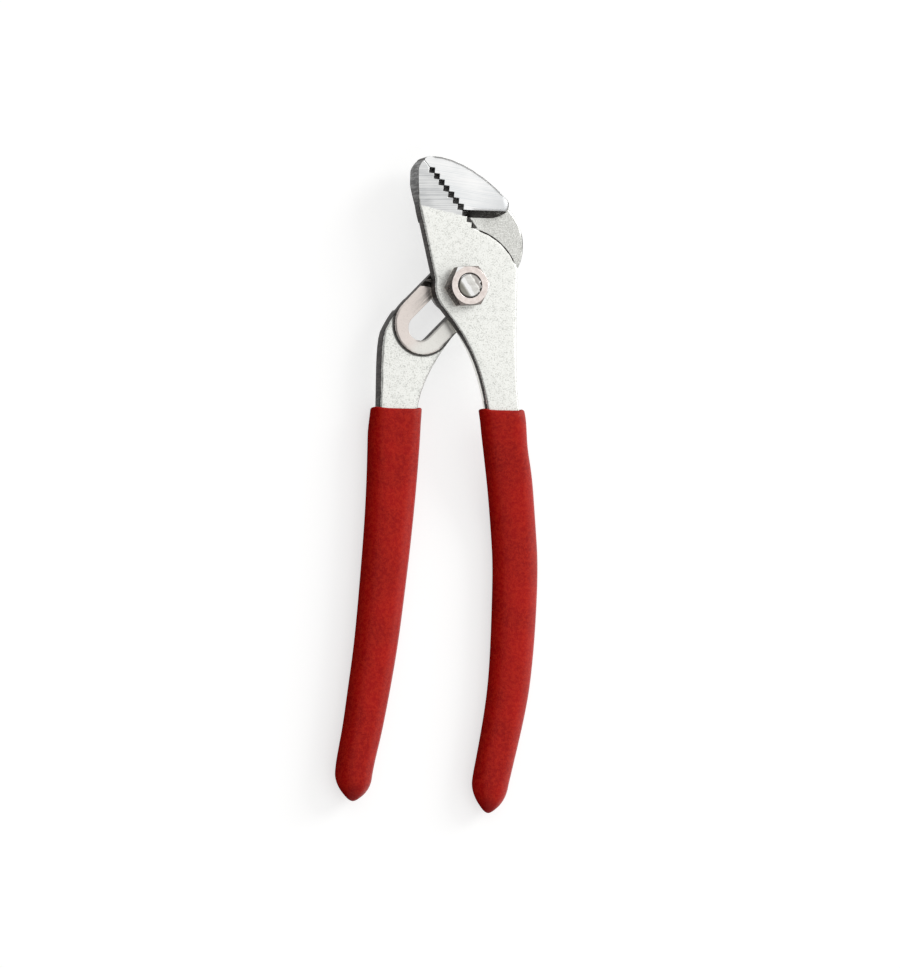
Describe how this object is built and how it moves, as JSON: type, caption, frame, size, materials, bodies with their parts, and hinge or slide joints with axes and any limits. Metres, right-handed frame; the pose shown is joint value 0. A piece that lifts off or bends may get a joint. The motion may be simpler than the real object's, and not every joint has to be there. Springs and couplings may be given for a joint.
{
  "type": "water pump pliers",
  "caption": "Slip-joint pliers with crossed forged levers, angled toothed jaws, a 45 degree slot with a tongue and groove joint, a hex nut on the pivot bolt and dipped red grips.",
  "frame": {"origin": "middle of the bolt head's flat end, on the surface that the tool lies on", "axes": "+Z along the bolt towards the nut, +Y along the tool towards the jaws, +X towards the front lever's handle"},
  "size_m": [0.0399, 0.1245, 0.0124],
  "materials": {
    "forged_steel": "forged steel with a grainy satin chrome plate, jaw faces ground bright with fine streaks",
    "nickel_plate": "smooth warm nickel plate",
    "dipped_plastic": "soft red dipped plastic with a matt orange-peel skin"
  },
  "bodies": {
    "back_lever": {"back_lever": "forged_steel", "back_grip": "dipped_plastic"},
    "pivot": {"pivot_bolt": "nickel_plate", "pivot_nut": "nickel_plate"},
    "front_lever": {"front_lever": "forged_steel", "front_grip": "dipped_plastic"}
  },
  "joints": [
    {"name": "slot_slide", "type": "slide", "parent": "back_lever", "child": "pivot", "axis": [-0.7071, -0.7071, 0], "range_m": [0, 0.0111]},
    {"name": "lever_hinge", "type": "hinge", "parent": "pivot", "child": "front_lever", "pos_m": [0, 0, 0.0058], "axis": [0, 0, 1], "range_deg": [0, 60]}
  ]
}
